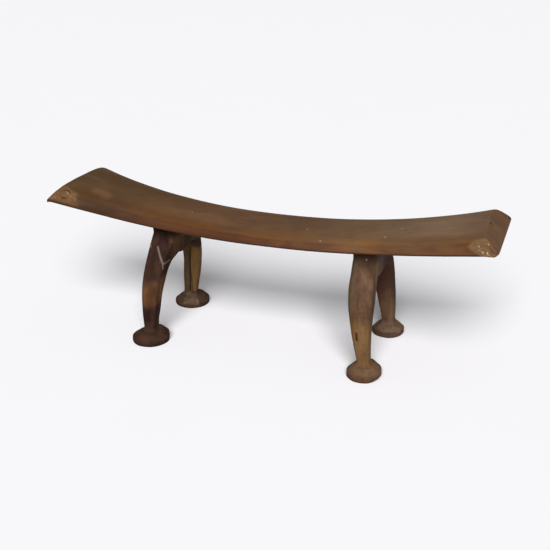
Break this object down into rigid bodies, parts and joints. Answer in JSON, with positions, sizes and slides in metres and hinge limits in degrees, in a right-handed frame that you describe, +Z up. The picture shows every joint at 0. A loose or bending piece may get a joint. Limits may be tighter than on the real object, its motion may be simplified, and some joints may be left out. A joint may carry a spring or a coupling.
{
  "type": "carved wooden headrest",
  "caption": "Carved wooden headrest: a long dished crossbar with bevelled ends on arched leg yokes with round feet.",
  "frame": {"origin": "on the floor under the middle of the headrest, the bottom centre of its box", "axes": "+X along the crossbar towards the viewer's right, +Y towards the back, +Z up"},
  "size_m": [0.472, 0.1468, 0.1631],
  "materials": {
    "bar_wood": "smooth, worn satin brown wood with a soft handled sheen",
    "yoke_wood": "darker carved wood with worn ridges and a dull satin surface",
    "peg_wood": "plain split hardwood, unfinished"
  },
  "bodies": {
    "root": {"crossbar": "bar_wood", "left_leg_yoke": "yoke_wood", "right_leg_yoke": "yoke_wood", "left_front_peg": "peg_wood", "left_back_peg": "peg_wood", "right_front_peg": "peg_wood", "right_back_peg": "peg_wood"}
  },
  "joints": []
}
